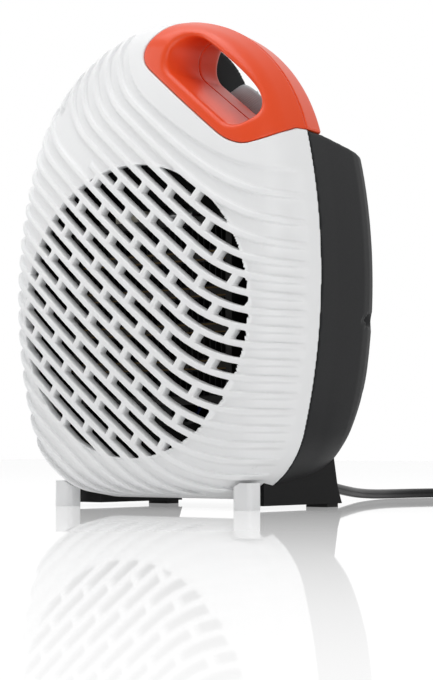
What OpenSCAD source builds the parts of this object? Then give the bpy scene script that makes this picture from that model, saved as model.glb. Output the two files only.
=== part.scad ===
// Ceramic fan heater: arched body with a slanted through handle, round outlet grille,
// two dials in a pocket behind the handle and a dark tapered rear shell.
// Frame: +Z up, +Y to the back, X to the viewer's right, origin at the bottom centre.

/* [Body] */
// Overall width of the arched body
body_w = 192; // [184:1:200]
// Front to back depth of the body
body_d = 118; // [112:1:130]
// Radius of the slightly bowed sides
side_r = 314; // [300:1:330]
// Radius of the top arch
top_r = 90.3; // [90:0.1:91]
// Radius of the two bottom corners
corner_r = 47; // [42:1:50]
// Height at which the body is widest
side_z = 122; // [118:1:126]
// Height of the body's underside above the floor
ground_gap = 5; // [4:0.5:6]
// Wall thickness of the mouldings
wall = 2.5; // [2:0.1:3]
// Depth of the white front shell, from its foremost point to the seam
front_d = 45; // [42:1:48]

/* [Grille] */
// Height of the air path's axis
air_z = 103.5; // [101:0.5:106]
// Radius of the round outlet
grille_r = 77; // [74:1:78]
// Angle of the ribs below the horizontal
rib_angle = 38.5; // [34:0.5:42]
// Distance from rib to rib
rib_pitch = 8.13; // [7.5:0.01:9]
// Width of one opening between ribs
slot_w = 4.8; // [4:0.1:5]
// Distance between the short bars that tie two ribs
tie_pitch = 31.1; // [26:0.1:36]
// Width of a tie bar
tie_w = 3.3; // [2.5:0.1:4]
// Depth of the ribs
rib_d = 6; // [4:0.5:7]

/* [Handle] */
// Distance of the handle's lower edge from the origin, square to the ribs
handle_edge = 184.8; // [184:0.1:186]
// Depth of the handle's rear half behind the seam
handle_back_d = 17; // [15:0.5:18]
// Opening of the grip, square to the bar
grip_h = 24; // [20:0.5:25]
// Length of the grip opening along the bar
grip_len = 70; // [66:1:72]

/* [Dials] */
// Radius of a dial
dial_r = 17.5; // [16:0.5:17.5]
// Height of a dial
dial_h = 14.5; // [12:0.5:15]
// Backward tilt of the dials
dial_tilt = 39; // [36:1:42]
// Radius of a dial's spindle
spindle_r = 3; // [2.5:0.1:3.5]

/* [Fan] */
// Tip radius of the impeller
fan_r = 57.5; // [54:0.5:58.5]
// Number of blades
blade_count = 7; // [5:1:9]
// Pitch of the blades
blade_pitch = 30; // [24:1:34]
// Radius of the motor shaft
shaft_r = 1.6; // [1.5:0.1:2]
// Radius of the motor can
motor_r = 24; // [20:1:26]

/* [Heating element] */
// Width of the heater frame
heater_w = 110; // [100:1:112]
// Height of the heater frame
heater_h = 98; // [90:1:98]
// Number of fin rows
fin_rows = 5; // [3:1:6]
// Number of air gaps in one fin row
fin_gaps = 26; // [16:1:30]

/* [Cord] */
// Diameter of the mains cord
cord_dia = 6; // [5:0.5:7]
// Mean radius of the cord's coil
coil_r = 33; // [30:1:36]

/* [Hidden] */
$fn = 64;

half_w = body_w / 2;
front_y = -body_d / 2;
back_y = body_d / 2;
seam_y = front_y + front_d;
handle_back_y = seam_y + handle_back_d;
side_x = half_w - side_r;
corner_z = ground_gap + corner_r;
corner_angle = asin((corner_z - side_z) / (side_r - corner_r));
corner_x = side_x + (side_r - corner_r) * cos(corner_angle);
top_angle = acos(-side_x / (side_r - top_r));
top_z = side_z + (side_r - top_r) * sin(top_angle);
running_gap = 0.05;

// One arc as points, its last point left to the next arc.
function arc(x, z, r, from, to, n) =
  [for (i = [0 : n - 1]) let (a = from + (to - from) * i / n) [x + r * cos(a), z + r * sin(a)]];

// The arched outline, moved inwards by g, as [x, z] points counter-clockwise from the bottom.
function outline(g) = concat(
  arc(corner_x, corner_z, corner_r - g, -90, corner_angle, 8),
  arc(side_x, side_z, side_r - g, corner_angle, top_angle, 9),
  arc(0, top_z, top_r - g, top_angle, 180 - top_angle, 30),
  arc(-side_x, side_z, side_r - g, 180 - top_angle, 180 - corner_angle, 9),
  arc(-corner_x, corner_z, corner_r - g, 180 - corner_angle, 270, 8),
  [[-corner_x, ground_gap + g]]);

// Setback of the domed front face at [x, z].
dome_x = 0.00117;
dome_z = 0.00092;
function dome(p) = dome_x * p[0] * p[0] + dome_z * pow(p[1] - air_z, 2);

// Front edge: the face turns over a rounding and runs on as a straight flare to the seam.
face_inset = 19;
flare_inset = 4;
edge_drop = 6.5;
edge_steps = 5;
function shrink(s) =
  [for (p = outline(face_inset)) [s * p[0], air_z + s * (p[1] - air_z)]];
function front_ring(points, w, drop) =
  [for (p = points) [p[0], front_y + w + dome(p) + drop, p[1]]];
function front_rings(w) = concat(
  [for (s = [0.25, 0.5, 0.75]) front_ring(shrink(s), w, 0)],
  [for (k = [0 : edge_steps]) let (a = 90 * k / edge_steps)
     front_ring(outline(face_inset - (face_inset - flare_inset) * sin(a) + w), w,
                edge_drop * (1 - cos(a)))],
  [[for (p = outline(w)) [p[0], seam_y, p[1]]]]);

// Rear: [inset, y] pairs; towards the back the top also sinks and the bottom corners draw in.
rear_profile = [[0, seam_y], [2.4, 4], [4.2, 19], [6, 34], [7.6, 41], [10.4, 48], [14.5, 53.5],
                [21, 57.5], [32, back_y]];
function top_sink(p, y) =
  0.0055 * pow(max(0, y - 2), 2) * pow(max(0, min(1, (p[1] - 165) / 95)), 2);
function low_taper(p, y) =
  0.00015 * pow(max(0, y - 10), 2) * pow(max(0, min(1, (75 - p[1]) / 70)), 2);
function rear_ring(g, y, w) =
  [for (p = outline(g + w)) [p[0] * (1 - low_taper(p, y)), y, p[1] - top_sink(p, y)]];
function rear_rings(w) =
  [for (r = rear_profile) rear_ring(r[0], r[1] - (r[1] > seam_y ? w : 0), w)];

// Closed loft through rings of equal length.
module loft(rings) {
  n = len(rings[0]);
  last = len(rings) - 1;
  points = [for (r = rings) each r];
  sides = [for (k = [0 : last - 1], i = [0 : n - 1]) let (j = (i + 1) % n)
             each [[k * n + i, k * n + j, k * n + n + i], [k * n + j, k * n + n + j, k * n + n + i]]];
  polyhedron(points, concat([[for (i = [n - 1 : -1 : 0]) i]], sides,
                            [[for (i = [0 : n - 1]) last * n + i]]));
}

// Extrudes an [x, z] shape from y0 to y1.
module slab(y0, y1) {
  translate([0, y1, 0]) rotate([90, 0, 0]) linear_extrude(y1 - y0) children();
}

// Cylinder along +Y.
module rod(x, z, y0, y1, r) {
  translate([x, y1, z]) rotate([90, 0, 0]) cylinder(r = r, h = y1 - y0);
}

// Along the ribs: local x runs down the ribs, local y square to them.
// Orange region: above the slanted edge, rounded at its left end, an S-curve at its right end.
handle_left = -154;
handle_left_r = 12;
module handle_region(grow = 0) {
  rotate(-rib_angle) {
    translate([handle_left + handle_left_r, handle_edge + handle_left_r]) circle(r = handle_left_r + grow);
    translate([handle_left + handle_left_r, handle_edge - grow]) square([110, 120]);
    translate([handle_left - grow, handle_edge + handle_left_r]) square([100, 120]);
  }
}
module handle_right_limit(grow = 0) {
  polygon([[54, 180 - grow], [56, 191.5 - grow], [60, 188.4 - grow], [66, 186.2 - grow], [72, 185.7 - grow],
           [78, 187.1 - grow], [82, 189.6 - grow], [86.5, 195.2 - grow], [110, 195.2 - grow],
           [110, 300], [-80, 300], [-80, 180 - grow]]);
}
module handle_shape(grow = 0) {
  intersection() {
    handle_region(grow);
    handle_right_limit(grow);
  }
}

// Grip opening: a slot with round ends, drawn square to the bar.
grip_left = -138;
grip_low = 191;
module grip_shape(grow = 0) {
  r = grip_h / 2 + grow;
  rotate(-rib_angle) {
    translate([grip_left + grip_h / 2, grip_low + grip_h / 2]) circle(r = r);
    translate([grip_left + grip_len - grip_h / 2, grip_low + grip_h / 2]) circle(r = r);
    translate([grip_left + grip_h / 2, grip_low - grow]) square([grip_len - grip_h, 2 * r]);
  }
}

// Pocket behind the handle: its floor is square to the dials.
pocket_left = -143.5;
pocket_right = -61.5;
pocket_y = handle_back_y;
pocket_low = 187.5;
cheek_z = 195;
module dial_frame() {
  rotate([0, rib_angle, 0]) translate([0, pocket_y, pocket_low]) rotate([-dial_tilt, 0, 0]) children();
}
module pocket(grow = 0) {
  dial_frame() translate([pocket_left - grow, -20, -grow])
    cube([pocket_right - pocket_left + 2 * grow, 120, 90]);
}
// The shell behind the handle is cut down along a curve that falls towards the back.
cheek_top = 204.9;
module above_cheek(grow = 0) {
  start = pocket_y - 1.5 - grow;
  rotate([0, rib_angle, 0]) translate([-200, 0, 0]) rotate([90, 0, 90]) linear_extrude(200 + pocket_right + grow)
    polygon(concat([[back_y + 30, 300], [start, 300]],
                   [for (y = [start : 6 : back_y + 8]) [y, cheek_top - 0.0066 * pow(y + 9, 2) - grow]]));
}
module behind_handle(grow = 0) {
  slab(seam_y - 1, handle_back_y + 0.3 + grow) handle_shape(grow);
  intersection() {
    pocket(grow);
    slab(handle_back_y, back_y + 30) translate([-150, 100]) square([300, 200]);
  }
  above_cheek(grow);
  slab(handle_back_y - 1, back_y + 30) intersection() {
    translate([-150, cheek_z - grow]) square([300, 100]);
    rotate(-rib_angle) translate([pocket_right - 1, 100]) square([200, 200]);
  }
}

// Screw posts that join the two shells.
posts = [[-74, 62], [74, 62], [-72, 190], [84.5, 100]];
post_r = 4.5;
pilot_r = 1.5;
screw_hole_r = 1.9;
screw_well_r = 3.8;
screw_seat_y = 8;

// Solid of the grille: a domed disc with rows of slots.
dome_r = 480;
module grille_slots() {
  rows = 10;
  columns = 3;
  translate([-13.2, 116.4]) rotate(-rib_angle)
    for (v = [-rows : rows], u = [-columns : columns])
      translate([(u + (v % 2 == 0 ? 0 : 0.5)) * tie_pitch - tie_pitch + tie_w, v * rib_pitch - slot_w])
        square([tie_pitch - tie_w, slot_w]);
}
module grille() {
  intersection() {
    slab(front_y - 1, front_y + 20) difference() {
      translate([0, air_z]) circle(r = grille_r + 1);
      intersection() {
        translate([0, air_z]) circle(r = grille_r);
        grille_slots();
      }
    }
    translate([0, front_y + dome_r, air_z]) sphere(r = dome_r, $fn = 100);
    difference() {
      translate([0, front_y + 20, air_z]) cube([200, 50, 200], center = true);
      translate([0, front_y + dome_r + rib_d, air_z]) sphere(r = dome_r, $fn = 100);
    }
  }
}

module front_shell() {
  color("white") {
    difference() {
      loft(front_rings(0));
      difference() {
        loft(front_rings(wall));
        for (p = posts) rod(p[0], p[1], front_y, seam_y, post_r);
      }
      slab(seam_y - 0.01, seam_y + 1) square([2 * body_w, 900], center = true);
      slab(front_y - 10, seam_y + 1) handle_shape();
      rod(0, air_z, front_y - 10, front_y + 20, grille_r);
      for (p = posts) rod(p[0], p[1], seam_y - 20, seam_y + 1, pilot_r);
    }
    grille();
  }
}

duct_r = grille_r + 1.6;
flange_y = seam_y - 2;
module outlet_duct() {
  color("gainsboro") translate([0, flange_y, air_z]) rotate([90, 0, 0])
    rotate_extrude() translate([grille_r - 1, 0]) square([wall, 28]);
}

module handle_front() {
  color("orangered") difference() {
    intersection() {
      loft(front_rings(0));
      slab(front_y - 5, seam_y) handle_shape(-0.1);
    }
    slab(front_y - 10, back_y) grip_shape();
    difference() {
      intersection() {
        loft(front_rings(wall));
        slab(front_y - 5, seam_y + 1) handle_shape(-0.1 - wall);
      }
      slab(front_y - 10, back_y) grip_shape(wall);
    }
  }
}
module handle_rear() {
  color("orangered") difference() {
    intersection() {
      loft(rear_rings(0));
      slab(seam_y, handle_back_y) handle_shape(-0.1);
    }
    slab(front_y - 10, back_y) grip_shape();
    difference() {
      intersection() {
        loft(rear_rings(wall));
        slab(seam_y - 1, handle_back_y - wall) handle_shape(-0.1 - wall);
      }
      slab(front_y - 10, back_y) grip_shape(wall);
    }
  }
}

// Rear shell: tapered tub with an intake grille, the dial pocket and the cord outlet.
intake_r = 54;
cord_x = 12;
cord_z = 22;
gland_r = 5;
relief_y = 34;
relief_len = 24.9;
relief_taper = 11;
dial_u = [-116.3, -80.1];
dial_v = 20.5;
lamp_at = [-98.2, 4.5];
module intake_slots() {
  for (i = [-7 : 7]) translate([0, air_z + 7 * i]) square([2 * intake_r, 4], center = true);
}
module rear_form(w) {
  difference() {
    loft(rear_rings(w));
    behind_handle(w);
  }
}
module rear_shell() {
  color("dimgray") difference() {
    rear_form(0);
    difference() {
      rear_form(wall);
      for (p = posts) rod(p[0], p[1], seam_y - 1, back_y, post_r);
    }
    slab(back_y - 8, back_y + 1) intersection() {
      translate([0, air_z]) circle(r = intake_r);
      intake_slots();
    }
    for (p = posts) {
      rod(p[0], p[1], seam_y - 1, back_y, screw_hole_r);
      rod(p[0], p[1], screw_seat_y, back_y + 5, screw_well_r);
    }
    rod(cord_x, cord_z, relief_y - 6, relief_y + 40, gland_r + 0.1);
    dial_frame() {
      for (u = dial_u) translate([u, dial_v, -10]) cylinder(r = spindle_r + 1.5, h = 20);
      translate([lamp_at[0], lamp_at[1], -10]) cylinder(r = 3.1, h = 20);
    }
  }
}

module shell_screws() {
  color("silver") for (p = posts) {
    rod(p[0], p[1], screw_seat_y, screw_seat_y + 2.4, 3.3);
    rod(p[0], p[1], seam_y - 16, screw_seat_y, pilot_r - 0.05);
  }
}

// Feet: two short white ones in front, two black wedges behind with rubber pads.
foot_x = 62;
foot_w = 12;
foot_d = 10;
module below_body() {
  difference() {
    children();
    loft(front_rings(-0.15));
    loft(rear_rings(-0.15));
  }
}
module front_foot(side) {
  color("white") below_body() translate([side * foot_x, front_y + 26.5, 0]) linear_extrude(14) {
    square([foot_w, foot_d - 5], center = true);
    square([foot_w - 5, foot_d], center = true);
    for (x = [-1, 1], y = [-1, 1]) translate([x * (foot_w - 5) / 2, y * (foot_d - 5) / 2]) circle(r = 2.5);
  }
}
stand_in = 47;
stand_out = 65;
pad_h = 2;
module stand(side) {
  color("black") below_body() intersection() {
    translate([side * (stand_in + stand_out) / 2 - (stand_out - stand_in) / 2, 0, 0])
      rotate([90, 0, 90]) linear_extrude(stand_out - stand_in)
        polygon([[-22, pad_h], [48, pad_h], [44, 11], [40.5, 27], [-22, 14]]);
  }
}
module pad(side) {
  color("gray") translate([side * (stand_in + stand_out) / 2 - 7, 37, 0]) cube([14, 10, pad_h]);
}
module foot_front_left() front_foot(-1);
module foot_front_right() front_foot(1);
module stand_left() stand(-1);
module stand_right() stand(1);
module pad_left() pad(-1);
module pad_right() pad(1);

// Heating element: frame, fin rows, ceramic plates between electrode strips.
frame_wall = 4;
heater_y0 = -36;
heater_y1 = flange_y;
bar_h = 5;
strip_h = 0.8;
fin_h = (heater_h - 2 * frame_wall - (fin_rows - 1) * bar_h) / fin_rows;
inner_w = heater_w - 2 * frame_wall;
fin_w = 0.7;
inner_z = air_z - heater_h / 2 + frame_wall;
module heater_frame() {
  color("black") slab(heater_y0, heater_y1) difference() {
    translate([0, air_z]) square([heater_w, heater_h], center = true);
    translate([0, air_z]) square([inner_w, heater_h - 2 * frame_wall], center = true);
  }
}
module heater_fins() {
  gap_w = (inner_w - (fin_gaps + 1) * fin_w) / fin_gaps;
  color("silver") for (row = [0 : fin_rows - 1])
    translate([0, 0, inner_z + row * (fin_h + bar_h)]) slab(heater_y0 + 2, heater_y1 - 2) difference() {
      translate([-inner_w / 2, 0]) square([inner_w, fin_h]);
      for (i = [0 : fin_gaps - 1])
        translate([-inner_w / 2 + fin_w + i * (gap_w + fin_w), fin_w]) square([gap_w, fin_h - 2 * fin_w]);
    }
}
module bars(z0, h, inset) {
  for (row = [0 : fin_rows - 2])
    translate([-inner_w / 2 + inset, heater_y0 + 2, inner_z + fin_h + row * (fin_h + bar_h) + z0])
      cube([inner_w - 2 * inset, heater_y1 - heater_y0 - 4, h]);
}
module ceramic_plates() {
  plates = 4;
  plate_w = (inner_w - 5) / plates;
  color("tan") for (row = [0 : fin_rows - 2], i = [0 : plates - 1])
    translate([-inner_w / 2 + 1 + i * (plate_w + 1), heater_y0 + 2,
               inner_z + fin_h + row * (fin_h + bar_h) + strip_h])
      cube([plate_w, heater_y1 - heater_y0 - 4, bar_h - 2 * strip_h]);
}
module electrodes() {
  color("goldenrod") {
    bars(0, strip_h, 0);
    bars(bar_h - strip_h, strip_h, 0);
  }
}
module heater_tabs() {
  color("goldenrod") for (z = [-30, 0, 30])
    translate([-heater_w / 2 - 8, heater_y0 + 6, air_z + z]) cube([8, 6.3, 0.8]);
}
module thermal_cutout() {
  color("ivory") translate([-28, heater_y0 + 4, air_z + heater_h / 2]) cube([16, 11, 7]);
}
module thermal_fuse() {
  color("silver") translate([8, heater_y0 + 9, air_z + heater_h / 2 + 2.2]) rotate([0, 90, 0])
    cylinder(r = 2.2, h = 15);
}

// Fan: shroud with flange, impeller on the motor shaft, motor on a three-armed bracket.
shroud_r = 60;
shroud_y1 = 38;
motor_y0 = 15;
motor_y1 = 47;
wire_hole = [-68.5, -14.5, 103.5];
module fan_shroud() {
  color("lightgray") difference() {
    translate([0, shroud_y1, air_z]) rotate([90, 0, 0]) rotate_extrude()
      polygon([[shroud_r, 0], [shroud_r + 2, 0], [shroud_r + 2, shroud_y1 - flange_y - 3],
               [duct_r, shroud_y1 - flange_y - 3], [duct_r, shroud_y1 - flange_y],
               [shroud_r, shroud_y1 - flange_y]]);
    rod(wire_hole[0], wire_hole[2], flange_y - 1, flange_y + 4, 2.6);
  }
}
hub_r = 13;
module impeller() {
  color("gray") translate([0, 4, air_z]) rotate([90, 0, 0]) difference() {
    union() {
      translate([0, 0, -8]) cylinder(r = hub_r, h = 15);
      intersection() {
        for (i = [0 : blade_count - 1]) rotate(i * 360 / blade_count) rotate([blade_pitch, 0, 0])
          linear_extrude(1.6, center = true)
            polygon([[hub_r - 3, -6], [fan_r + 2, -13], [fan_r + 2, 12], [hub_r - 3, 6]]);
        translate([0, 0, -12]) cylinder(r = fan_r, h = 24);
      }
    }
    translate([0, 0, -10]) cylinder(r = shaft_r, h = 20);
  }
}
module motor_shaft() {
  color("silver") rod(0, air_z, -3, motor_y1 + 3, shaft_r);
}
rotor_r = 11;
module motor_rotor() {
  color("silver") difference() {
    rod(0, air_z, motor_y0 + 7, motor_y1 - 7, rotor_r);
    rod(0, air_z, motor_y0, motor_y1, shaft_r);
  }
}
module tube(r, y0, y1, r0) {
  difference() {
    rod(0, air_z, y0, y1, r);
    rod(0, air_z, y0 - 1, y1 + 1, r0);
  }
}
module motor_stator() {
  color("peru") tube(motor_r - 1.5, motor_y0 + 6, motor_y1 - 6, rotor_r + 0.5);
}
bearing_r = 5;
module motor_can() {
  color("gray") {
    tube(motor_r, motor_y0 + 1.5, motor_y1 - 1.5, motor_r - 1.5);
    tube(motor_r, motor_y0, motor_y0 + 1.5, bearing_r);
    tube(motor_r, motor_y1 - 1.5, motor_y1, bearing_r);
  }
}
module motor_bearings() {
  color("goldenrod") {
    tube(bearing_r, motor_y0, motor_y0 + 5, shaft_r + running_gap);
    tube(bearing_r, motor_y1 - 5, motor_y1, shaft_r + running_gap);
  }
}
module motor_bracket() {
  color("dimgray") {
    tube(motor_r + 3, shroud_y1 - 8, shroud_y1, motor_r);
    for (a = [90, 210, 330]) translate([0, shroud_y1 - 6, air_z]) rotate([0, a, 0])
      translate([motor_r + 2, 0, -3]) cube([shroud_r - motor_r - 2.2, 6, 6]);
  }
}

// Dials, their spindles and the switches they turn.
module dial(u) {
  color("lightgray") dial_frame() translate([u, dial_v, 0.6]) difference() {
    union() {
      cylinder(r = dial_r, h = dial_h - 1);
      cylinder(r = dial_r - 1, h = dial_h);
      translate([-1.5, -dial_r + 1, 0]) cube([3, dial_r - 1, dial_h + 1]);
    }
    translate([0, 0, -1]) cylinder(r = spindle_r, h = dial_h - 1);
  }
}
switch_d = 16;
module spindle(u) {
  color("silver") dial_frame() translate([u, dial_v, -wall - switch_d + 4])
    cylinder(r = spindle_r, h = wall + switch_d - 4 + dial_h - 2);
}
module switch_case(u, w) {
  dial_frame() translate([u, dial_v, -wall - 0.2 - switch_d]) difference() {
    translate([-w / 2, -w / 2, 0]) cube([w, w, switch_d]);
    translate([0, 0, 3]) cylinder(r = spindle_r + running_gap, h = switch_d);
  }
}
module thermostat_dial() dial(dial_u[0]);
module thermostat_spindle() spindle(dial_u[0]);
module thermostat_body() {
  color("ivory") switch_case(dial_u[0], 19);
}
module mode_dial() dial(dial_u[1]);
module mode_spindle() spindle(dial_u[1]);
module mode_switch() {
  color("white") switch_case(dial_u[1], 21);
}
module lamp_lens() {
  color("red") dial_frame() translate([lamp_at[0], lamp_at[1], -8]) cylinder(r = 3, h = 9);
}

// Terminals.
block = [-50, 18, 17];
block_size = [34, 14, 12];
module terminal_block() {
  color("ivory") difference() {
    translate(block) cube(block_size);
    for (x = [6, 17, 28]) translate([block[0] + x, block[1] + 7, block[2] + 4]) cylinder(r = 2, h = 20);
  }
}
module terminal_screws() {
  color("silver") for (x = [6, 17, 28])
    translate([block[0] + x, block[1] + 7, block[2] + 4]) cylinder(r = 1.9, h = 6);
}

// A round tube swept along points, with rings square to the path.
function path_dir(p, i) = let (a = p[max(0, i - 1)], b = p[min(len(p) - 1, i + 1)]) (b - a) / norm(b - a);
function tube_ring(p, i, r, n) =
  let (d = path_dir(p, i), up = abs(d[2]) > 0.9 ? [1, 0, 0] : [0, 0, 1],
       s = cross(d, up) / norm(cross(d, up)), t = cross(s, d))
  [for (k = [0 : n - 1]) p[i] + r * (cos(360 * k / n) * s + sin(360 * k / n) * t)];
module swept_tube(p, r, n) {
  loft([for (i = [0 : len(p) - 1]) tube_ring(p, i, r, n)]);
}
// Smooth points through a hand-set route, m steps to each stretch.
function spline_at(a, b, c, d, t) =
  0.5 * (2 * b + (c - a) * t + (2 * a - 5 * b + 4 * c - d) * t * t + (3 * b - a - 3 * c + d) * t * t * t);
function smooth(p, m) = concat(
  [for (i = [0 : len(p) - 2], k = [0 : m - 1])
     spline_at(p[max(0, i - 1)], p[i], p[i + 1], p[min(len(p) - 1, i + 2)], k / m)],
  [p[len(p) - 1]]);

wire_r = 1.2;
module wire(p) {
  swept_tube(smooth(p, 3), wire_r, 8);
}
module wire_heater() {
  color("brown") wire([[-44, 25, 31], [-57, 22, 48], [-66, 12, 74], [-70, 0, 94], wire_hole, [-64.6, -27, 103.9]]);
}
module wire_motor() {
  color("blue") wire([[-33, 25, 31], [-34, 40, 46], [-25, 50, 70], [-15, 50, 85]]);
}
module wire_switch() {
  color("brown") wire([[-22, 28, 31], [8, 26, 37], [42, 26, 41], [66, 18, 78], [71, 10, 115], [60, 9, 148]]);
}

// Mains cord: out of the rear, over the floor to a coil and on to the plug.
floor_z = cord_dia / 2;
cord_route = [[12, 57, 22], [11.6, 75, 21], [10, 92, 17.5], [6.5, 110, 12.5], [3, 128, 8.5],
              [0, 146, 6], [-4, 166, 4.2], [-6.5, 186, 3.3], [-7.5, 206, floor_z],
              [-5, 228, floor_z], [2, 247, floor_z], [15, 265, floor_z], [34, 280, floor_z],
              [58, 289, floor_z], [80, 291, floor_z]];
coil_at = [80, 252];
coil_half = 1.5 * cord_dia;
coil_top = floor_z + cord_dia;
tail_route = [[119, 252, coil_top], [119.5, 240, 8.3], [121, 227, 6.5], [124.5, 213, 5.5], [131, 198, 6.5],
              [140, 182, 8]];
plug_at = [140, 182, 8];
module strain_relief() {
  color("black") translate([cord_x, relief_y, cord_z]) rotate([-90, 0, 0]) difference() {
    union() {
      cylinder(r = gland_r, h = relief_len - relief_taper);
      translate([0, 0, relief_len - relief_taper]) cylinder(r1 = gland_r, r2 = 3.8, h = relief_taper);
    }
    translate([0, 0, relief_len - 3]) cylinder(r = cord_dia / 2, h = 4);
  }
}
module cord_clamp() {
  color("dimgray") translate([cord_x - 10, relief_y - 6, cord_z - 6]) cube([20, 6, 12]);
}
module cord() {
  color("black") swept_tube(smooth(cord_route, 4), cord_dia / 2, 8);
}
module cord_coil() {
  color("black") translate([coil_at[0], coil_at[1], 0]) rotate_extrude()
    translate([coil_r - coil_half, 0]) square([2 * coil_half, 2 * cord_dia]);
}
module cord_tail() {
  color("black") swept_tube(smooth(tail_route, 3), cord_dia / 2, 8);
}
plug_t = 16;
module plug_frame() {
  translate(plug_at) rotate([0, 0, -60]) children();
}
module plug_body() {
  color("black") plug_frame() translate([0, 0, -plug_t / 2]) linear_extrude(plug_t)
    polygon([[0, -6], [14, -7], [24, -17], [44, -18], [44, 18], [24, 17], [14, 7], [0, 6]]);
}
module plug_pins() {
  color("silver") plug_frame() for (s = [-1, 1]) translate([44, 9.5 * s, 0]) rotate([0, 90, 0])
    cylinder(r = 2.4, h = 19);
}

front_shell();
outlet_duct();
handle_front();
handle_rear();
rear_shell();
shell_screws();
foot_front_left();
foot_front_right();
stand_left();
stand_right();
pad_left();
pad_right();
heater_frame();
heater_fins();
ceramic_plates();
electrodes();
heater_tabs();
thermal_cutout();
thermal_fuse();
fan_shroud();
impeller();
motor_shaft();
motor_rotor();
motor_stator();
motor_can();
motor_bearings();
motor_bracket();
thermostat_dial();
thermostat_spindle();
thermostat_body();
mode_dial();
mode_spindle();
mode_switch();
lamp_lens();
terminal_block();
terminal_screws();
wire_heater();
wire_motor();
wire_switch();
cord_clamp();
strain_relief();
cord();
cord_coil();
cord_tail();
plug_body();
plug_pins();
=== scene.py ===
import math
import bpy
import numpy as np
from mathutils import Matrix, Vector


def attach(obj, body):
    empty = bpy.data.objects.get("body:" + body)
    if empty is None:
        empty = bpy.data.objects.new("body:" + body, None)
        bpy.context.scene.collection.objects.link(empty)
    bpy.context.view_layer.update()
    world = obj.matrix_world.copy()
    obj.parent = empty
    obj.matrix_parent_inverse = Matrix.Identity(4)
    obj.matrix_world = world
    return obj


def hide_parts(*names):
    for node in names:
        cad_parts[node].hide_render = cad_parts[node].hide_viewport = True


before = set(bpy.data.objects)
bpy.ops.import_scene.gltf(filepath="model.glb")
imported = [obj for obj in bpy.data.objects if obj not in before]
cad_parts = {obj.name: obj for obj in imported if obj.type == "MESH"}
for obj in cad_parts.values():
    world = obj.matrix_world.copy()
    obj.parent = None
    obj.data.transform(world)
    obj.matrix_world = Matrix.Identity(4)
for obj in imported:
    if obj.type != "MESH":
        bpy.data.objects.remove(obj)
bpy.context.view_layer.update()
mm = 0.001
scene = bpy.context.scene

# Camera.

view = {"turn": 38.5, "tilt": 3.2, "lens": 101.6, "sensor": 36, "far": 50,
        "eye": (0.6603, -0.8095, 0.0322)}

def makeCamera():
    data = bpy.data.cameras.new("camera")
    data.lens = view["lens"]
    data.sensor_width = view["sensor"]
    data.clip_end = view["far"]
    camera = bpy.data.objects.new("camera", data)
    scene.collection.objects.link(camera)
    turn, tilt = math.radians(view["turn"]), math.radians(view["tilt"])
    look = Vector((-math.sin(turn) * math.cos(tilt), math.cos(turn) * math.cos(tilt), math.sin(tilt)))
    camera.location = view["eye"]
    camera.rotation_euler = look.to_track_quat("-Z", "Y").to_euler()
    scene.camera = camera

makeCamera()
print("camera placed")

# Small helpers.

def smoothStep(low, high, x):
    t = np.clip((x - low) / (high - low), 0, 1)
    return t * t * (3 - 2 * t)

def softMax(a, b, k):                # larger of the two, rounded over k
    h = np.maximum(k - np.abs(a - b), 0) / k
    return np.maximum(a, b) + h * h * k / 4

def softMin(a, b, k):
    return -softMax(-a, -b, k)

def smoothRoute(points, steps):      # Catmull-Rom through given points
    p = np.array(points, float)
    out = []
    for i in range(len(p) - 1):
        a, b, c, d = p[max(i - 1, 0)], p[i], p[i + 1], p[min(i + 2, len(p) - 1)]
        for s in range(steps):
            t = s / steps
            out.append(0.5 * (2 * b + (c - a) * t + (2 * a - 5 * b + 4 * c - d) * t ** 2
                              + (3 * b - a - 3 * c + d) * t ** 3))
    out.append(p[-1])
    return out

def addMesh(name, points, faces, body):
    mesh = bpy.data.meshes.new(name)
    points = np.asarray(points, np.float32) * mm
    faces = np.asarray(faces, np.int32)
    mesh.vertices.add(len(points))
    mesh.vertices.foreach_set("co", points.ravel())
    sides = faces.shape[1]
    mesh.loops.add(faces.size)
    mesh.loops.foreach_set("vertex_index", faces.ravel())
    mesh.polygons.add(len(faces))
    mesh.polygons.foreach_set("loop_start", np.arange(0, faces.size, sides, dtype=np.int32))
    mesh.update(calc_edges=True)
    mesh.validate()
    mesh.polygons.foreach_set("use_smooth", np.ones(len(mesh.polygons), bool))
    piece = bpy.data.objects.new(name, mesh)
    scene.collection.objects.link(piece)
    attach(piece, body)
    return piece

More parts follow.
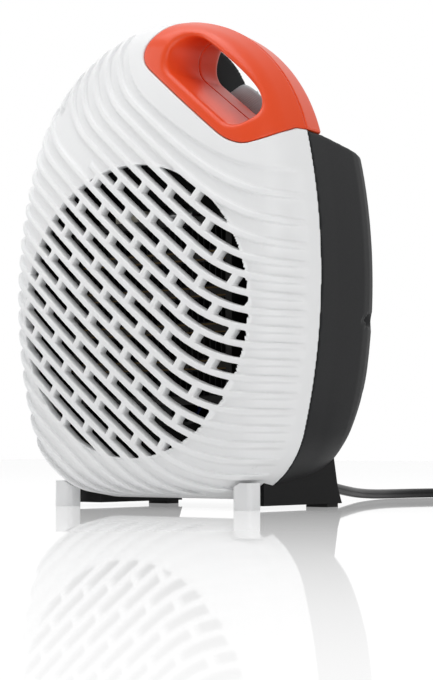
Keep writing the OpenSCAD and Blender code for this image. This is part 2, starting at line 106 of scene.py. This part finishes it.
def surfaceNet(field, low, step):    # closed quad mesh where the field crosses zero
    inside = field < 0
    counts = np.zeros(tuple(n - 1 for n in field.shape), np.int8)
    corners = [(i, j, k) for i in (0, 1) for j in (0, 1) for k in (0, 1)]
    def corner(a, c):
        return a[c[0]:a.shape[0] - 1 + c[0], c[1]:a.shape[1] - 1 + c[1], c[2]:a.shape[2] - 1 + c[2]]
    for c in corners:
        counts += corner(inside, c)
    active = (counts > 0) & (counts < 8)
    cells = np.argwhere(active)
    ids = np.full(active.shape, -1, np.int32)
    ids[active] = np.arange(len(cells))
    total = np.zeros((len(cells), 3))
    hits = np.zeros(len(cells))
    for c in corners:
        for axis in range(3):
            if c[axis]:
                continue
            d = list(c)
            d[axis] = 1
            f0 = field[tuple((cells + c).T)]
            f1 = field[tuple((cells + d).T)]
            cross = (f0 < 0) != (f1 < 0)
            t = np.where(cross, f0 / np.where(cross, f0 - f1, 1), 0)
            at = np.tile(np.array(c, float), (len(cells), 1))
            at[:, axis] = t
            total[cross] += at[cross]
            hits += cross
    points = np.array(low) + step * (cells + total / hits[:, None])
    faces = []
    for axis in range(3):
        b, c = (axis + 1) % 3, (axis + 2) % 3
        a0 = [slice(1, -1)] * 3
        a0[axis] = slice(0, -1)
        a1 = list(a0)
        a1[axis] = slice(1, None)
        first, second = inside[tuple(a0)], inside[tuple(a1)]
        spots = np.argwhere(first != second)
        origin = spots + [0 if n == axis else 1 for n in range(3)]
        leaving = first[tuple(spots.T)]
        def cell(db, dc):
            q = origin.copy()
            q[:, b] -= db
            q[:, c] -= dc
            return ids[tuple(q.T)]
        quad = np.stack([cell(1, 1), cell(0, 1), cell(0, 0), cell(1, 0)], 1)
        quad[~leaving] = quad[~leaving][:, ::-1]
        faces.append(quad)
    return points, np.concatenate(faces)

# The body's form, in millimetres, y counted from the foremost point.

form = {"halfWidth": 96, "sideRadius": 314, "topRadius": 90.3, "cornerRadius": 47, "underside": 5,
        "widestZ": 122, "depth": 118, "seam": 45, "airZ": 103.5, "domeX": 0.00117, "domeZ": 0.00092,
        "faceInset": 19, "flareInset": 4, "edgeDrop": 6.5, "wall": 3, "rearWall": 2.5, "joint": 0.12}
sideX = form["halfWidth"] - form["sideRadius"]
cornerZ = form["underside"] + form["cornerRadius"]
cornerAngle = math.asin((cornerZ - form["widestZ"]) / (form["sideRadius"] - form["cornerRadius"]))
cornerX = sideX + (form["sideRadius"] - form["cornerRadius"]) * math.cos(cornerAngle)
topAngle = math.acos(-sideX / (form["sideRadius"] - form["topRadius"]))
topZ = form["widestZ"] + (form["sideRadius"] - form["topRadius"]) * math.sin(topAngle)
frontY = -form["depth"] / 2

def inset(x, z):                     # distance inwards from the arched outline
    ax = np.abs(x)
    angle = np.arctan2(z - form["widestZ"], ax - sideX)
    side = form["sideRadius"] - np.hypot(ax - sideX, z - form["widestZ"])
    top = form["topRadius"] - np.hypot(ax, z - topZ)
    corner = form["cornerRadius"] - np.hypot(ax - cornerX, z - cornerZ)
    bottom = z - form["underside"]
    low = np.where(ax < cornerX, bottom, corner)
    return np.where(angle > topAngle, top, np.where(angle < cornerAngle, low, side))

def dome(x, z):
    return form["domeX"] * x ** 2 + form["domeZ"] * (z - form["airZ"]) ** 2

def frontField(g, h, rise):          # g inset, h depth behind the dome, rise from dome to seam
    drop, out = form["edgeDrop"], form["flareInset"]
    run = rise - drop
    flare = ((out - g) * run + (drop - h) * out) / np.hypot(run, out)
    return softMax(-h, flare, form["faceInset"] - out)

# Behind the seam: pairs of y and inset, then how the top sinks and the bottom corners draw in.

rearForm = {"profile": [(45, 0), (63, 2.4), (78, 4.2), (93, 6), (100, 7.6), (107, 10.4), (112.5, 14.5),
                        (116.5, 21), (118, 32)],
            "sink": 0.0055, "sinkFrom": 61, "sinkZ": 165, "sinkSpan": 95,
            "taper": 0.00015, "taperFrom": 69, "taperZ": 75, "taperSpan": 70}

def topSink(z, y):
    high = np.clip((z - rearForm["sinkZ"]) / rearForm["sinkSpan"], 0, 1)
    return rearForm["sink"] * np.maximum(0, y - rearForm["sinkFrom"]) ** 2 * high ** 2

def lowTaper(z, y):
    low = np.clip((rearForm["taperZ"] - z) / rearForm["taperSpan"], 0, 1)
    return rearForm["taper"] * np.maximum(0, y - rearForm["taperFrom"]) ** 2 * low ** 2

def rearField(x, y, z):
    ys = [p[0] for p in rearForm["profile"]]
    gs = [p[1] for p in rearForm["profile"]]
    need = np.interp(y, ys, gs)
    slope = np.interp(y + 0.5, ys, gs) - np.interp(y - 0.5, ys, gs)
    return (need - inset(x / (1 - lowTaper(z, y)), z + topSink(z, y))) / np.sqrt(1 + slope ** 2)

# Directions of the ribs.

ribs = {"angle": 38.5, "pitch": 8.13, "phase": 84.55, "half": 0.203, "height": 2.0,
        "leftStart": -103.1, "leftPitch": 8.3, "rightStart": 66.2, "rightPitch": 8.25, "widenZ": 123.95,
        "widen": 2.3, "bend": 2.2, "last": 10.75, "fadeFrom": 19, "fadeTo": 7,
        "tiePitch": 31.1, "tieWidth": 3.3, "tieStart": -82.8, "radius": 77, "depth": 6}
cosR, sinR = math.cos(math.radians(ribs["angle"])), math.sin(math.radians(ribs["angle"]))

def along(x, z):
    return x * cosR - z * sinR

def across(x, z):
    return x * sinR + z * cosR

def ribPhase(x, z):                  # whole numbers run along the middles of the ribs
    front = (across(x, z) - ribs["phase"]) / ribs["pitch"]
    left = (x - ribs["leftStart"]) / ribs["leftPitch"]
    pitch, turn, widen = ribs["rightPitch"], ribs["widenZ"], ribs["widen"]
    over = np.maximum(z - turn, 0)
    wider = (turn - ribs["rightStart"]) / pitch + (np.sqrt(pitch ** 2 + 2 * widen * over) - pitch) / widen
    right = np.where(z < turn, (z - ribs["rightStart"]) / pitch, wider)
    return softMin(softMin(front, left, ribs["bend"]), right, ribs["bend"])

# Outline of the orange part.

handle = {"edge": 184.8, "left": -154.2, "leftLean": 0.06, "leftFoot": 205, "leftRound": 13,
          "right": 185.7, "rightRise": 9.8, "rightRound": 7, "gripLeft": -138, "gripLow": 191,
          "gripLength": 70, "gripHeight": 24, "arch": 7.5, "archRound": 6, "back": 62,
          "lip": 3.5, "lipMore": 5, "lipFrom": 198, "lipTo": 210}

def orangeInside(x, y, z):           # distance inside the orange outline
    a, b = along(x, z), across(x, z)
    outwards, backwards = np.clip((x - 68) / 16, 0, 1), np.clip((y - 12) / 26, 0, 1)
    rise = np.clip(0.45 * outwards + 0.55 * backwards * (x > 60), 0, 1)
    right = (z - handle["right"] - handle["rightRise"] * rise ** 1.6) * 0.9
    left = (a - handle["left"] - handle["leftLean"] * (handle["leftFoot"] - b)) * 0.998
    return softMin(softMin(b - handle["edge"], left, handle["leftRound"]), right, handle["rightRound"])

def gripOutside(x, z):               # distance outside the grip's slot, which keeps off the arch
    r = handle["gripHeight"] / 2
    a = along(x, z) - handle["gripLeft"] - r
    b = across(x, z) - handle["gripLow"] - r
    a = a - np.clip(a, 0, handle["gripLength"] - 2 * r)
    return softMax(np.hypot(a, b) - r, handle["arch"] - inset(x, z), handle["archRound"])

# Materials.

class Sock:                          # a socket with arithmetic
    def __init__(self, mat, socket):
        self.mat, self.socket = mat, socket
    def op(self, kind, a, b):
        return self.mat.node("ShaderNodeMath", {"operation": kind}, {0: a, 1: b})
    def __add__(self, other):
        return self.op("ADD", self, other)
    def __radd__(self, other):
        return self.op("ADD", other, self)
    def __sub__(self, other):
        return self.op("SUBTRACT", self, other)
    def __rsub__(self, other):
        return self.op("SUBTRACT", other, self)
    def __mul__(self, other):
        return self.op("MULTIPLY", self, other)
    def __rmul__(self, other):
        return self.op("MULTIPLY", other, self)

class Maker:                         # builds one node material
    def __init__(self, name):
        self.material = bpy.data.materials.new(name)
        self.material.use_nodes = True
        self.tree = self.material.node_tree
        self.shader = self.tree.nodes["Principled BSDF"]
    def node(self, kind, settings=None, values=None, out=0):
        n = self.tree.nodes.new(kind)
        for key, value in (settings or {}).items():
            setattr(n, key, value)
        for key, value in (values or {}).items():
            self.feed(n.inputs[key], value)
        return Sock(self, n.outputs[out])
    def feed(self, target, value):
        if isinstance(value, Sock):
            self.tree.links.new(value.socket, target)
        else:
            target.default_value = value
    def set(self, **values):
        for key, value in values.items():
            self.feed(self.shader.inputs[key.replace("_", " ")], value)
    def place(self):
        return self.node("ShaderNodeTexCoord", out=3)
    def noise(self, scale, detail=3.0, rough=0.5):
        return self.node("ShaderNodeTexNoise", {}, {"Vector": self.place(), "Scale": scale,
                                                    "Detail": detail, "Roughness": rough})
    def between(self, mask, a, b):
        return self.node("ShaderNodeMix", {"data_type": "RGBA"}, {0: mask, 6: a, 7: b}, out=2)
    def bump(self, height, strength, distance):
        self.set(Normal=self.node("ShaderNodeBump", {}, {"Strength": strength, "Distance": distance,
                                                         "Height": height}))

def shade(color, k):
    return (*[min(1, c * k) for c in color], 1)

def moulded(name, color, rough, grain, gloss=0.0, metal=0.0, spread=0.05, size=900, depth=0.00005):
    m = Maker(name)
    broad = m.noise(14, 2)
    fine = m.noise(size, 4, 0.6)
    m.set(Base_Color=m.between(broad * 0.7 + fine * 0.3, shade(color, 1 - spread), shade(color, 1 + spread)),
          Roughness=rough + grain * (fine - 0.5) + 0.06 * (broad - 0.5), Metallic=metal)
    m.shader.inputs["Coat Weight"].default_value = gloss
    m.shader.inputs["Coat Roughness"].default_value = 0.12
    m.bump(fine, 0.25, depth)
    return m.material

def dress(target, material):
    data = target.data
    data.materials.clear()
    data.materials.append(material)

finishes = {
    "white": moulded("whiteMoulding", (0.86, 0.865, 0.87), 0.42, 0.10, gloss=0.04, spread=0.01,
                     depth=0.00002),
    "orange": moulded("orangeMoulding", (0.80, 0.075, 0.017), 0.36, 0.08, gloss=0.08, spread=0.03,
                      depth=0.00002),
    "dark": moulded("darkGrainedMoulding", (0.010, 0.0105, 0.0115), 0.55, 0.20, spread=0.15, size=1500,
                    depth=0.00009),
    "black": moulded("blackMoulding", (0.004, 0.004, 0.0045), 0.5, 0.16, spread=0.15, size=1300,
                     depth=0.00007),
    "dial": moulded("dialMoulding", (0.36, 0.42, 0.44), 0.40, 0.12, spread=0.03, depth=0.00003),
    "duct": moulded("ductMoulding", (0.012, 0.012, 0.013), 0.60, 0.10, spread=0.04),
    "rubber": moulded("footRubber", (0.02, 0.02, 0.02), 0.85, 0.12, spread=0.2, size=700, depth=0.0001),
    "steel": moulded("platedSteel", (0.45, 0.45, 0.46), 0.32, 0.12, metal=1.0, spread=0.08, size=400),
    # heater fins: aluminium darkened to near-black, painted shade standing in for the dark inside of the
    # duct
    "aluminium": moulded("finStripPaintedShade", (0.012, 0.012, 0.013), 0.5, 0.12, metal=0.6, spread=0.1, size=500),
    "brass": moulded("brassStrip", (0.12, 0.08, 0.035), 0.32, 0.12, metal=1.0, spread=0.1, size=400),
    "ceramic": moulded("firedStone", (0.025, 0.022, 0.02), 0.8, 0.15, spread=0.15, size=600, depth=0.0001),
    "resin": moulded("heatProofResin", (0.012, 0.011, 0.01), 0.6, 0.15, spread=0.2),
    "ivory": moulded("ivoryResin", (0.62, 0.58, 0.48), 0.45, 0.12, spread=0.06),
    "winding": moulded("enamelledCopper", (0.42, 0.14, 0.05), 0.3, 0.1, metal=0.8, spread=0.15, size=300),
    "brown": moulded("brownWire", (0.13, 0.045, 0.02), 0.5, 0.1, spread=0.1),
    "blue": moulded("blueWire", (0.02, 0.05, 0.26), 0.5, 0.1, spread=0.1),
    "cord": moulded("cordSheath", (0.012, 0.012, 0.013), 0.36, 0.12, spread=0.2, size=800, depth=0.00005),
    "plug": moulded("plugMoulding", (0.012, 0.012, 0.013), 0.38, 0.12, spread=0.2, size=900, depth=0.00006),
    "pin": moulded("platedPin", (0.62, 0.6, 0.56), 0.2, 0.08, metal=1.0, spread=0.05, size=300),
    "lamp": moulded("lampLens", (0.45, 0.02, 0.015), 0.15, 0.05, gloss=0.6, spread=0.1)}
print("materials made")

# Mains cord.

cordFacts = {"diameter": 0.006, "coilAt": (80, 252), "outer": 39, "inner": 27, "turns": 5.25,
             "route": [(12, 57, 22), (11.6, 75, 21), (10, 92, 17.5), (6.5, 110, 12.5), (3, 128, 8.5),
                       (0, 146, 6), (-4, 166, 4.2), (-6.5, 186, 3.3), (-7.5, 206, 3), (-5, 228, 3),
                       (2, 247, 3), (15, 265, 3), (34, 280, 3), (58, 289, 3), (80, 291, 3)],
             "tail": [(119, 252, 9), (119.5, 240, 8.3), (121, 227, 6.5), (124.5, 213, 5.5),
                      (131, 198, 6.5), (140, 182, 8)]}

# The coil: inwards along the floor, up one diameter, and outwards again on top.
def coilPoint(t):
    half = cordFacts["turns"] / 2
    wide = cordFacts["outer"] - cordFacts["inner"]
    inward = 1 - abs(t - half) / half
    r = cordFacts["outer"] - wide * min(1, inward * 1.06)
    z = 3 + 6 * float(smoothStep(half - 0.35, half + 0.35, t))
    angle = math.radians(90 - 360 * t)
    cx, cy = cordFacts["coilAt"]
    return np.array((cx + r * math.cos(angle), cy + r * math.sin(angle), z))

def cordLine():
    line = smoothRoute(cordFacts["route"], 4)[:-1]
    steps = int(cordFacts["turns"] * 30)
    line += [coilPoint(cordFacts["turns"] * i / steps) for i in range(steps + 1)]
    return line + smoothRoute(cordFacts["tail"], 4)[1:]

def makeCord():
    points = cordLine()
    curve = bpy.data.curves.new("mainsCord", "CURVE")
    curve.dimensions = "3D"
    curve.bevel_depth = cordFacts["diameter"] / 2
    curve.bevel_resolution = 3
    curve.use_fill_caps = True
    spline = curve.splines.new("POLY")
    spline.points.add(len(points) - 1)
    for p, q in zip(spline.points, points):
        p.co = (*[float(c) * mm for c in q], 1)
    spline.use_smooth = True
    piece = bpy.data.objects.new("mainsCord", curve)
    scene.collection.objects.link(piece)
    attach(piece, "housing")
    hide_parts("cord", "cord_coil", "cord_tail")
    dress(piece, finishes["cord"])

makeCord()
print("cord laid")

# White front shell with its grille.

def voxelAxes(low, high, step):      # sample places along each axis
    return [np.arange(low[n], high[n] + step, step) for n in range(3)]

def yAxis(axis):                     # y from the foremost point, shaped for broadcasting
    return axis[None, :, None]

def plan(xs, zs):                    # x and z as two-dimensional arrays over the front view
    return np.meshgrid(xs, zs, indexing="ij")

def flat(values):
    return values[:, None, :]

def ridgeShape(x, z, step):          # rib number, 1 on a ridge and 0 in a groove, distance into a rib
    phase = ribPhase(x, z)
    gradX, gradZ = np.gradient(phase, step)
    pitch = 1 / np.maximum(np.hypot(gradX, gradZ), 0.03)
    offset = np.abs(phase - np.round(phase)) * pitch
    half = ribs["half"] * ribs["pitch"]
    ridge = 1 - smoothStep(half - 0.4, half + 0.5, offset)
    ridge = np.maximum(ridge, smoothStep(ribs["last"], ribs["last"] + 0.17, phase))
    a = along(x, z)
    blank = smoothStep(-184, -180, a) * (1 - smoothStep(-140, -136, a)) * (np.round(phase) == 5)
    return phase, ridge * (1 - blank), half - offset       # one rib has a plain stretch

def tieShape(x, z, phase):           # distance inside the short bars that tie two ribs
    lane = (along(x, z) - ribs["tieStart"]) / ribs["tiePitch"]
    lane = lane + np.where((np.floor(phase) + 1) % 2 == 0, 0, 0.5)
    at = (lane - np.floor(lane)) * ribs["tiePitch"]
    inside = np.minimum(at, ribs["tieWidth"] - at)
    return np.where(at < ribs["tieWidth"], inside, -np.minimum(at - ribs["tieWidth"], ribs["tiePitch"] - at))

def makeFrontShell():
    step = 0.66
    low, high = (-97.5, -1.5, 3), (97.5, 46.6, 264)
    xs, ys, zs = [axis.astype(np.float32) for axis in voxelAxes(low, high, step)]
    x, z = plan(xs, zs)
    g, d = inset(x, z), dome(x, z)
    phase, ridge, gapMiddle = ridgeShape(x, z, step)
    y = yAxis(ys)
    outer = frontField(flat(g), y - flat(d), form["seam"] - flat(d)).astype(np.float32)
    fade = 1 - smoothStep(form["seam"] - ribs["fadeFrom"], form["seam"] - ribs["fadeTo"], y)
    r = np.hypot(x, z - form["airZ"])
    recess = ribs["height"] * flat(1 - ridge) * fade * flat(smoothStep(0, 1.2, r - ribs["radius"]))
    deeper = ribs["depth"] - form["wall"]
    depth = form["wall"] + deeper * (1 - smoothStep(0, 3, r - ribs["radius"]))
    shell = softMax(outer + recess.astype(np.float32), -(outer + flat(depth)), 0.5)
    hole = softMax(softMax(r - ribs["radius"], gapMiddle, 0.5), tieShape(x, z, phase), 0.5)
    shell = softMax(shell, -flat(hole), 0.5)
    orange = orangeInside(flat(x), y, flat(z)).astype(np.float32)
    shell = softMax(shell, orange + 0.15, 0.5)
    shell = np.maximum(shell, y - form["seam"] + 0.05)
    points, faces = surfaceNet(shell, low, step)
    points[:, 1] = np.maximum(points[:, 1] + frontY, frontY)
    piece = addMesh("frontShell", points, faces, "housing")
    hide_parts("front_shell")
    dress(piece, finishes["white"])
    print("front shell", len(points), "points")

makeFrontShell()

# Orange handle, two halves.

def makeHandle():
    step = 0.66
    low, high = (-16, 6, 180), (94, 63.5, 264)
    xs, ys, zs = voxelAxes(low, high, step)
    x, z = plan(xs, zs)
    y = yAxis(ys)
    g, d, grip = inset(x, z), dome(x, z), gripOutside(x, z)
    orange = orangeInside(flat(x), y, flat(z))
    front = frontField(flat(g), y - flat(d), form["seam"] - flat(d))
    rear = rearField(flat(x), np.maximum(y, form["seam"]), flat(z))
    outer = np.where(y < form["seam"], front, rear)
    outer = softMax(outer, y - handle["back"], 3)
    upper = smoothStep(handle["lipFrom"], handle["lipTo"], across(x, z))
    more = np.clip(0.5 * (grip + g) - handle["lip"], 0, handle["lipMore"])
    solid = softMax(outer, -flat(grip), flat(handle["lip"] + upper * more))
    solid = softMax(solid, 0.15 - orange, 0.8)
    for name, node, cut in (("handleFront", "handle_front", y - form["seam"] + form["joint"]),
                            ("handleRear", "handle_rear", form["seam"] + form["joint"] - y)):
        points, faces = surfaceNet(softMax(solid, cut, 0.6), low, step)
        points[:, 1] += frontY
        piece = addMesh(name, points, faces, "housing")
        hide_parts(node)
        dress(piece, finishes["orange"])
        print(name, len(points), "points")

makeHandle()

# Dark rear shell.

pocket = {"left": -143.5, "right": -61.5, "start": 62, "floor": 187.5, "tilt": 39, "cheekZ": 195.3,
          "cheekFall": 0.12, "behindTop": 204.9, "behindFall": 0.0066, "behindFrom": 50}
intake = {"radius": 54, "pitch": 7, "slot": 4, "rows": 52, "skinY": 112}
posts = {"at": [(-74, 62), (74, 62), (-72, 190), (84.5, 100)], "radius": 5.5, "well": 3.8,
         "startY": 64, "seatY": 67}
outlet = {"x": 12, "z": 22, "radius": 5.1, "startY": 99}
cosT, sinT = math.cos(math.radians(pocket["tilt"])), math.sin(math.radians(pocket["tilt"]))

def dialFrame(x, y, z):              # u along the ribs, v down the pocket's floor, w off the floor
    b, back = across(x, z) - pocket["floor"], y - pocket["start"]
    return along(x, z), back * cosT - b * sinT, back * sinT + b * cosT

def makeRearShell():
    step = 1.15
    low, high = (-98, 43, 3), (98, 120, 265)
    xs, ys, zs = voxelAxes(low, high, step)
    x, z = plan(xs, zs)
    y = yAxis(ys)
    body = softMax(rearField(flat(x), np.maximum(y, form["seam"]), flat(z)), y - form["depth"], 2)
    orange = orangeInside(flat(x), np.minimum(y, form["seam"]), flat(z))
    underHandle = np.maximum(-orange - 0.2, y - handle["back"] - 0.4)
    u, v, w = dialFrame(flat(x), y, flat(z))
    front = softMax(u - pocket["right"], handle["back"] - y, 1)
    dialPocket = softMax(softMax(-w, pocket["left"] - u, 3), front, 3)
    behind = handle["back"] - 1 - y
    cheekTop = pocket["cheekZ"] - pocket["cheekFall"] * (y - handle["back"])
    cheek = np.maximum(np.maximum(cheekTop - flat(z), pocket["right"] - 1 - u), behind)
    fall = pocket["behindFall"] * (y - pocket["behindFrom"]) ** 2
    sunk = np.maximum(pocket["behindTop"] - fall - flat(across(x, z)), behind)
    sunk = np.maximum(sunk, u - pocket["right"])
    cut = np.minimum(np.minimum(underHandle, dialPocket), np.minimum(cheek, sunk))
    body = softMax(body, -cut, 2)
    shell = np.maximum(body, -(body + form["rearWall"]))
    r = np.hypot(x, z - form["airZ"])
    row = (z - form["airZ"] + intake["pitch"] / 2) % intake["pitch"] - intake["pitch"] / 2
    slots = softMax(r - intake["radius"], np.abs(row) - intake["slot"] / 2, 1)
    slots = np.where(np.abs(z - form["airZ"]) < intake["rows"], slots, 9)
    slots = np.maximum(flat(slots), intake["skinY"] - y)
    shell = softMax(shell, -slots, 1)
    for px, pz in posts["at"]:
        well = flat(np.hypot(x - px, z - pz))
        post = np.maximum(np.maximum(well - posts["radius"], body), posts["startY"] - y)
        shell = np.minimum(shell, post)
        shell = softMax(shell, -np.maximum(well - posts["well"], posts["seatY"] - y), 0.8)
    gland = flat(np.hypot(x - outlet["x"], z - outlet["z"])) - outlet["radius"]
    shell = np.maximum(shell, -np.maximum(gland, outlet["startY"] - y))
    shell = np.maximum(shell, form["seam"] + 0.1 - y)
    points, faces = surfaceNet(shell, low, step)
    points[:, 1] = np.minimum(points[:, 1] + frontY, form["depth"] / 2)
    piece = addMesh("rearShell", points, faces, "housing")
    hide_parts("rear_shell")
    dress(piece, finishes["dark"])
    print("rear shell", len(points), "points")

makeRearShell()

# Dials: a knurled drum with a bevelled rim and a raised pointer.

dials = {"radius": 17.5, "height": 14.5, "base": 0.6, "v": 20.5, "teeth": 90, "tooth": 0.42, "bevel": 1.5}

def dialPoint(u, v, w):              # from the pocket's frame to the part's frame
    b = pocket["floor"] - v * sinT + w * cosT
    return (u * cosR + b * sinR, v * cosT + w * sinT + pocket["start"] + frontY, -u * sinR + b * cosR)

def makeDial(name, node, body, u):
    r, top = dials["radius"], dials["base"] + dials["height"]
    around = dials["teeth"] * 4
    base, bevel = dials["base"], dials["bevel"]
    rings = [(0.02, base, 0), (r - 1.2, base, 0), (r - 0.4, base + 0.5, 0.5), (r, base + 1.2, 1),
             (r, top - bevel - 0.6, 1), (r - 0.1, top - bevel, 0), (r - 0.45, top - 0.35, 0),
             (r - bevel, top, 0), (r - 5, top + 0.15, 0), (0.02, top + 0.15, 0)]
    points, faces = [], []
    for radius, w, cut in rings:     # each ring's radius, height and share of the knurl
        for i in range(around):
            angle = 2 * math.pi * i / around
            groove = dials["tooth"] * cut * (0.5 - 0.5 * math.cos(angle * dials["teeth"])) ** 2
            points.append(dialPoint(u + (radius - groove) * math.sin(angle),
                                    dials["v"] + (radius - groove) * math.cos(angle), w))
    for k in range(len(rings) - 1):
        for i in range(around):
            j = (i + 1) % around
            faces.append((k * around + i, (k + 1) * around + i, (k + 1) * around + j, k * around + j))
    low = len(points)
    mark = [(-1.2, 0), (1.2, 0), (0.7, r - 2.2), (-0.7, r - 2.2)]
    points += [dialPoint(u + a, dials["v"] - b, top - 0.4) for a, b in mark]
    points += [dialPoint(u + a * 0.7, dials["v"] - b * 0.98 - 0.1, top + 0.9) for a, b in mark]
    faces += [(low + i, low + (i + 1) % 4, low + 4 + (i + 1) % 4, low + 4 + i) for i in range(4)]
    faces += [(low + 3, low + 2, low + 1, low), (low + 4, low + 5, low + 6, low + 7)]
    piece = addMesh(name, points, faces, body)
    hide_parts(node)
    dress(piece, finishes["dial"])

makeDial("thermostatDial", "thermostat_dial", "thermostat_control", -116.3)
makeDial("modeDial", "mode_dial", "mode_control", -80.1)
print("dials made")

# The other nodes keep their form and take a finish.

nodeFinish = {
    "outlet_duct": "duct", "shell_screws": "steel", "foot_front_left": "white", "foot_front_right": "white",
    "stand_left": "black", "stand_right": "black", "pad_left": "rubber", "pad_right": "rubber",
    "heater_frame": "resin", "heater_fins": "aluminium", "ceramic_plates": "ceramic", "electrodes": "brass",
    "heater_tabs": "brass", "thermal_cutout": "ivory", "thermal_fuse": "steel", "fan_shroud": "duct",
    "impeller": "black", "motor_shaft": "steel", "motor_rotor": "steel", "motor_stator": "winding",
    "motor_can": "steel", "motor_bearings": "brass", "motor_bracket": "steel",
    "thermostat_dial": "dial", "thermostat_spindle": "steel", "thermostat_body": "ivory",
    "mode_dial": "dial", "mode_spindle": "steel", "mode_switch": "ivory", "lamp_lens": "lamp",
    "terminal_block": "ivory", "terminal_screws": "steel", "wire_heater": "brown", "wire_motor": "blue",
    "wire_switch": "brown", "cord_clamp": "black", "strain_relief": "cord", "plug_body": "plug",
    "plug_pins": "pin"}

for key, level in (("dark", 0.22), ("black", 0.22), ("orange", 0.3), ("duct", 0.15), ("white", 0.35)):
    finishes[key].node_tree.nodes["Principled BSDF"].inputs["Specular IOR Level"].default_value = level
for name, finish in nodeFinish.items():
    dress(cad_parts[name], finishes[finish])
print("nodes finished")

# Floor and light.

studio = {"floorSize": 3, "floorGlow": 0.71, "mirrorNear": 0.68, "mirrorFar": 0.03, "mirrorFrom": -0.05,
          "mirrorTo": 1.0, "mirrorRough": 0.025, "facing": (-0.62, 0.78, 0), "skyBack": 1.0,
          "skyFront": 0.36}

def makeFloor():
    s = studio["floorSize"]
    floor = bpy.data.meshes.new("floor")
    floor.from_pydata([(-s, -s, 0), (s, -s, 0), (s, s, 0), (-s, s, 0)], [], [(0, 1, 2, 3)])
    piece = bpy.data.objects.new("floor", floor)
    scene.collection.objects.link(piece)
    m = Maker("paleFloor")
    grain = m.noise(3, 2)
    m.set(Base_Color=m.between(grain, (0.33, 0.33, 0.33, 1), (0.36, 0.36, 0.36, 1)), Roughness=0.9)
    m.shader.inputs["Specular IOR Level"].default_value = 0
    m.shader.inputs["Emission Color"].default_value = (1, 1, 1, 1)
    m.shader.inputs["Emission Strength"].default_value = studio["floorGlow"]
    at = m.node("ShaderNodeSeparateXYZ", {}, {0: m.place()})
    atY = Sock(m, at.socket.node.outputs[1])
    towardX, awayY = -studio["facing"][0], studio["facing"][1]
    near = m.node("ShaderNodeMapRange", {"interpolation_type": "SMOOTHSTEP"},
                  {0: at * towardX - atY * awayY, 1: studio["mirrorFrom"], 2: studio["mirrorTo"],
                   3: studio["mirrorNear"], 4: studio["mirrorFar"]})
    gloss = m.node("ShaderNodeBsdfAnisotropic", {}, {"Color": (1, 1, 1, 1),
                                                     "Roughness": studio["mirrorRough"]})
    blend = m.node("ShaderNodeMixShader", {}, {0: near, 1: Sock(m, m.shader.outputs[0]), 2: gloss})
    m.tree.links.new(blend.socket, m.tree.nodes["Material Output"].inputs[0])
    floor.materials.append(m.material)

def makeSky():                       # white behind the object, dimmer on the viewer's side
    world = bpy.data.worlds.new("studio")
    scene.world = world
    world.use_nodes = True
    nodes, links = world.node_tree.nodes, world.node_tree.links
    place = nodes.new("ShaderNodeTexCoord")
    dot = nodes.new("ShaderNodeVectorMath")
    dot.operation = "DOT_PRODUCT"
    dot.inputs[1].default_value = studio["facing"]
    ramp = nodes.new("ShaderNodeMapRange")
    ramp.interpolation_type = "SMOOTHSTEP"
    ramp.inputs[1].default_value, ramp.inputs[2].default_value = 0.1, 0.75
    ramp.inputs[3].default_value, ramp.inputs[4].default_value = studio["skyFront"], studio["skyBack"]
    links.new(place.outputs["Generated"], dot.inputs[0])
    links.new(dot.outputs["Value"], ramp.inputs[0])
    links.new(ramp.outputs[0], nodes["Background"].inputs["Strength"])
    nodes["Background"].inputs["Color"].default_value = (1, 1, 1, 1)

def makeLamp(name, at, aim, size, power):
    data = bpy.data.lights.new(name, "AREA")
    data.shape = "RECTANGLE"
    data.size, data.size_y = size
    data.energy = power
    light = bpy.data.objects.new(name, data)
    scene.collection.objects.link(light)
    light.location = at
    light.rotation_euler = (Vector(aim) - Vector(at)).to_track_quat("-Z", "Y").to_euler()

makeFloor()
makeSky()
makeLamp("topSoftbox", (-0.1, -0.15, 1.1), (0, 0, 0.1), (0.9, 0.7), 5)
makeLamp("leftSoftbox", (-1.0, -0.7, 0.7), (0, 0, 0.13), (0.5, 0.9), 4)
makeLamp("rightStrip", (1.1, -0.5, 0.4), (0, 0, 0.13), (0.8, 0.8), 4)
scene.view_settings.view_transform = "Standard"
